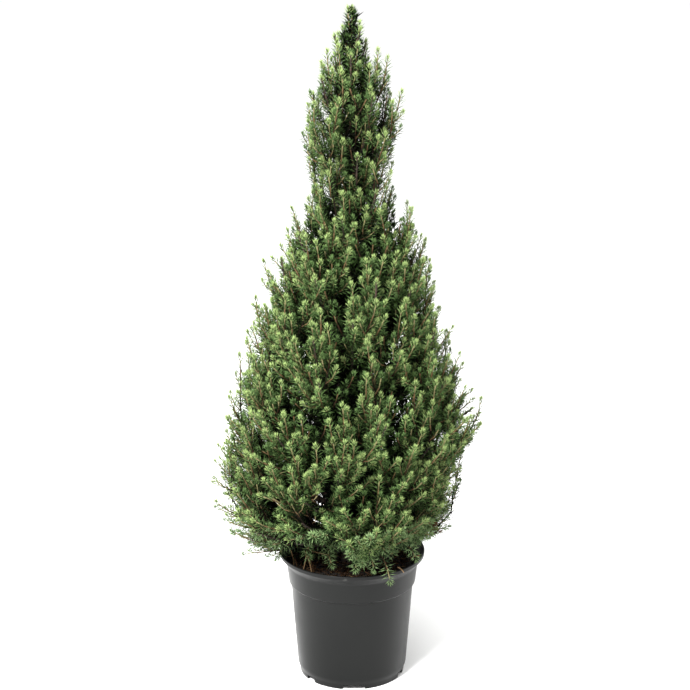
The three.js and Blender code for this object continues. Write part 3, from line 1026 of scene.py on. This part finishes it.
def spindles(name, parts, finishes):
    """Joins needles, or other bits of their shape, into one mesh."""
    base, way, side, size = (parts[key] for key in ("base", "way", "side", "size"))
    side = side / np.linalg.norm(side, axis=1)[:, None]
    up = np.cross(side, way)
    shape = needle_corners[None] * size[:, None]
    points = base[:, None] + shape[:, :, :1] * side[:, None] + shape[:, :, 1:2] * way[:, None]
    points = points + shape[:, :, 2:] * up[:, None]
    count = len(base)
    faces = needle_faces[None] + 4 * np.arange(count)[:, None, None]
    mesh = bpy.data.meshes.new(name)
    mesh.vertices.add(4 * count)
    mesh.vertices.foreach_set("co", points.ravel())
    mesh.loops.add(12 * count)
    mesh.loops.foreach_set("vertex_index", faces.ravel().astype(np.int32))
    mesh.polygons.add(4 * count)
    mesh.polygons.foreach_set("loop_start", np.arange(0, 12 * count, 3, dtype=np.int32))
    mesh.polygons.foreach_set("material_index", np.repeat(parts["tone"], 4).astype(np.int32))
    for finish in finishes:
        mesh.materials.append(finish)
    mesh.update(calc_edges=True)
    return add_object(name, mesh)


# The needles are joined in bands, by the height of their shoots' tips, and each band stands for the
# foliage masses of one or two tiers.
bands = [
    ("skirt", 0.0, 0.255, ("skirt",)),
    ("low", 0.255, 0.33, ("low",)),
    ("broad", 0.33, 0.42, ("broad",)),
    ("middle", 0.42, 0.52, ("middle",)),
    ("upper", 0.52, 0.66, ("upper", "neck")),
    ("spire", 0.66, 2.0, ("spire", "leader")),
]
for name, low, high, tiers in bands:
    chosen = (needles["level"] >= low) & (needles["level"] < high)
    chosen_needles = {key: values[chosen] for key, values in needles.items()}
    piece = spindles(f"needles_{name}", chosen_needles, needle_finishes)
    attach(piece, "root")
    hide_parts(*[mass for mass in foliage_nodes if mass.split("_")[1] in tiers])

# ---- Litter --------------------------------------------------------------------------------------
# What has dropped on the potting mix: dead needles, chips of bark and crumbs of peat, all small
# closed spindles, and a few bits of straw and dead twig that lean on the inside of the lip.

# Dead matter has lost its wax, so all of it is matt.
litter_finishes = [
    plain("dead_brown_needles", "#5b4029", 0.85),
    plain("bleached_dead_needles", "#7c6544", 0.85),
    plain("loose_bark_chips", "#35251a", 0.9),
    plain("peat_crumbs", "#17110c", 0.95),
]
litter_shares = [0.36, 0.12, 0.22, 0.30]
litter_sizes = [(0.011, 0.0012), (0.011, 0.0012), (0.007, 0.0042), (0.004, 0.0036)]
litter_reach = 0.0815
litter = {"base": [], "way": [], "side": [], "size": [], "tone": []}
for i in range(1900):
    kind = needle_random.choice(4, p=litter_shares)
    reach = litter_reach * math.sqrt(needle_random.uniform(0.02, 1.0))
    turn = needle_random.uniform(0.0, math.tau)
    x, y = reach * math.cos(turn), reach * math.sin(turn)
    drift = 0.004 * max(0.0, (reach - 0.070) / 0.012)  # it heaps up against the wall
    way = unit(needle_random.normal(0.0, 1.0, 3) * [1.0, 1.0, 0.25])
    litter["base"].append([x, y, soil_height(x, y) + 0.0006 + drift * needle_random.random()])
    litter["way"].append(way)
    litter["side"].append(np.cross(way, [0.1, 0.2, 1.0]))
    length, width = litter_sizes[kind]
    scale = needle_random.uniform(0.6, 1.3)
    litter["size"].append([width * scale, length * scale, width * scale])
    litter["tone"].append(kind)
litter = {key: np.array(values) for key, values in litter.items()}
bits = spindles("litter_on_potting_mix", litter, litter_finishes)
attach(bits, "root")

stick_ends = [  # foot, tip and radius
    ((-0.0710, -0.052, 0.174), (-0.0655, -0.052, 0.202), 0.0008),
    ((-0.0580, -0.058, 0.174), (-0.0660, -0.051, 0.203), 0.0008),
    ((-0.0545, -0.052, 0.173), (-0.0640, -0.040, 0.197), 0.0006),
    ((-0.0840, -0.028, 0.172), (-0.0880, -0.030, 0.198), 0.0007),
    ((-0.0790, -0.040, 0.172), (-0.0820, -0.042, 0.190), 0.0005),
    ((0.0830, -0.036, 0.188), (0.0965, -0.034, 0.191), 0.0007),
    ((0.0640, -0.094, 0.199), (0.0720, -0.106, 0.196), 0.0007),
    ((0.0300, -0.076, 0.175), (0.0180, -0.080, 0.186), 0.0006),
]
stick_tones = [0, 0, 1, 0, 1, 0, 0, 1]
stick_paths = []
for start, end, girth in stick_ends:
    bow = np.array([girth, -girth, girth]) * 1.5
    middle = (np.array(start) + np.array(end)) / 2 + bow
    stick_paths.append(curve_through(np.array(start), middle, np.array(end), 8))
sticks = tubes(
    "straw_and_twigs_in_the_pot",
    stick_paths,
    [np.full(8, girth) for _, _, girth in stick_ends],
    6,
    stick_tones,
    [plain("weathered_straw", "#7d6549", 0.8), plain("dead_twig", "#58402c", 0.85)],
)
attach(sticks, "root")
